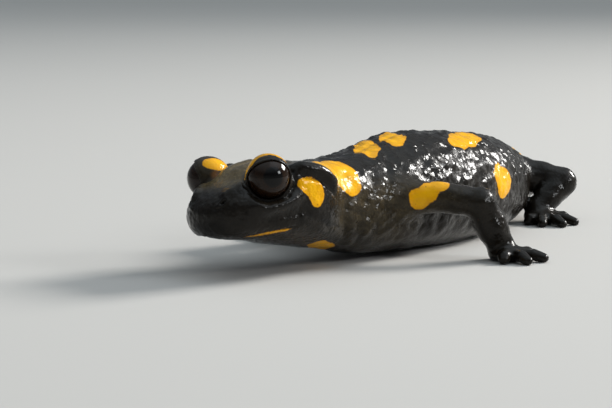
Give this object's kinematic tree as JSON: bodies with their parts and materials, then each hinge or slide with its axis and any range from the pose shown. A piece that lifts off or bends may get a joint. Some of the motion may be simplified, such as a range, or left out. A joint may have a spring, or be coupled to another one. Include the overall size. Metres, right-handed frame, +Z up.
{
  "type": "fire salamander",
  "caption": "Life-size fire salamander standing low on straightened forelegs, glossy black with yellow spots, body bent and tail swung to its right.",
  "frame": {"origin": "on the ground, under the middle of the bounding box", "axes": "+X the way the shoulders face, from tail to head; +Y the animal's left; +Z up from the ground"},
  "size_m": [0.1428, 0.1058, 0.0192],
  "materials": {
    "skin": "wet gloss, black with yellow spots",
    "eye": "polished, near black"
  },
  "bodies": {
    "root": {"head": "skin", "lower_jaw": "skin", "eye_left": "eye", "eye_right": "eye", "neck": "skin", "chest": "skin", "belly": "skin", "loin": "skin", "pelvis": "skin", "tail_base": "skin", "tail_middle": "skin", "tail_tip": "skin", "upper_arm_left": "skin", "forearm_left": "skin", "hand_left": "skin", "upper_arm_right": "skin", "forearm_right": "skin", "hand_right": "skin", "thigh_left": "skin", "shank_left": "skin", "foot_left": "skin", "thigh_right": "skin", "shank_right": "skin", "foot_right": "skin"}
  },
  "joints": []
}
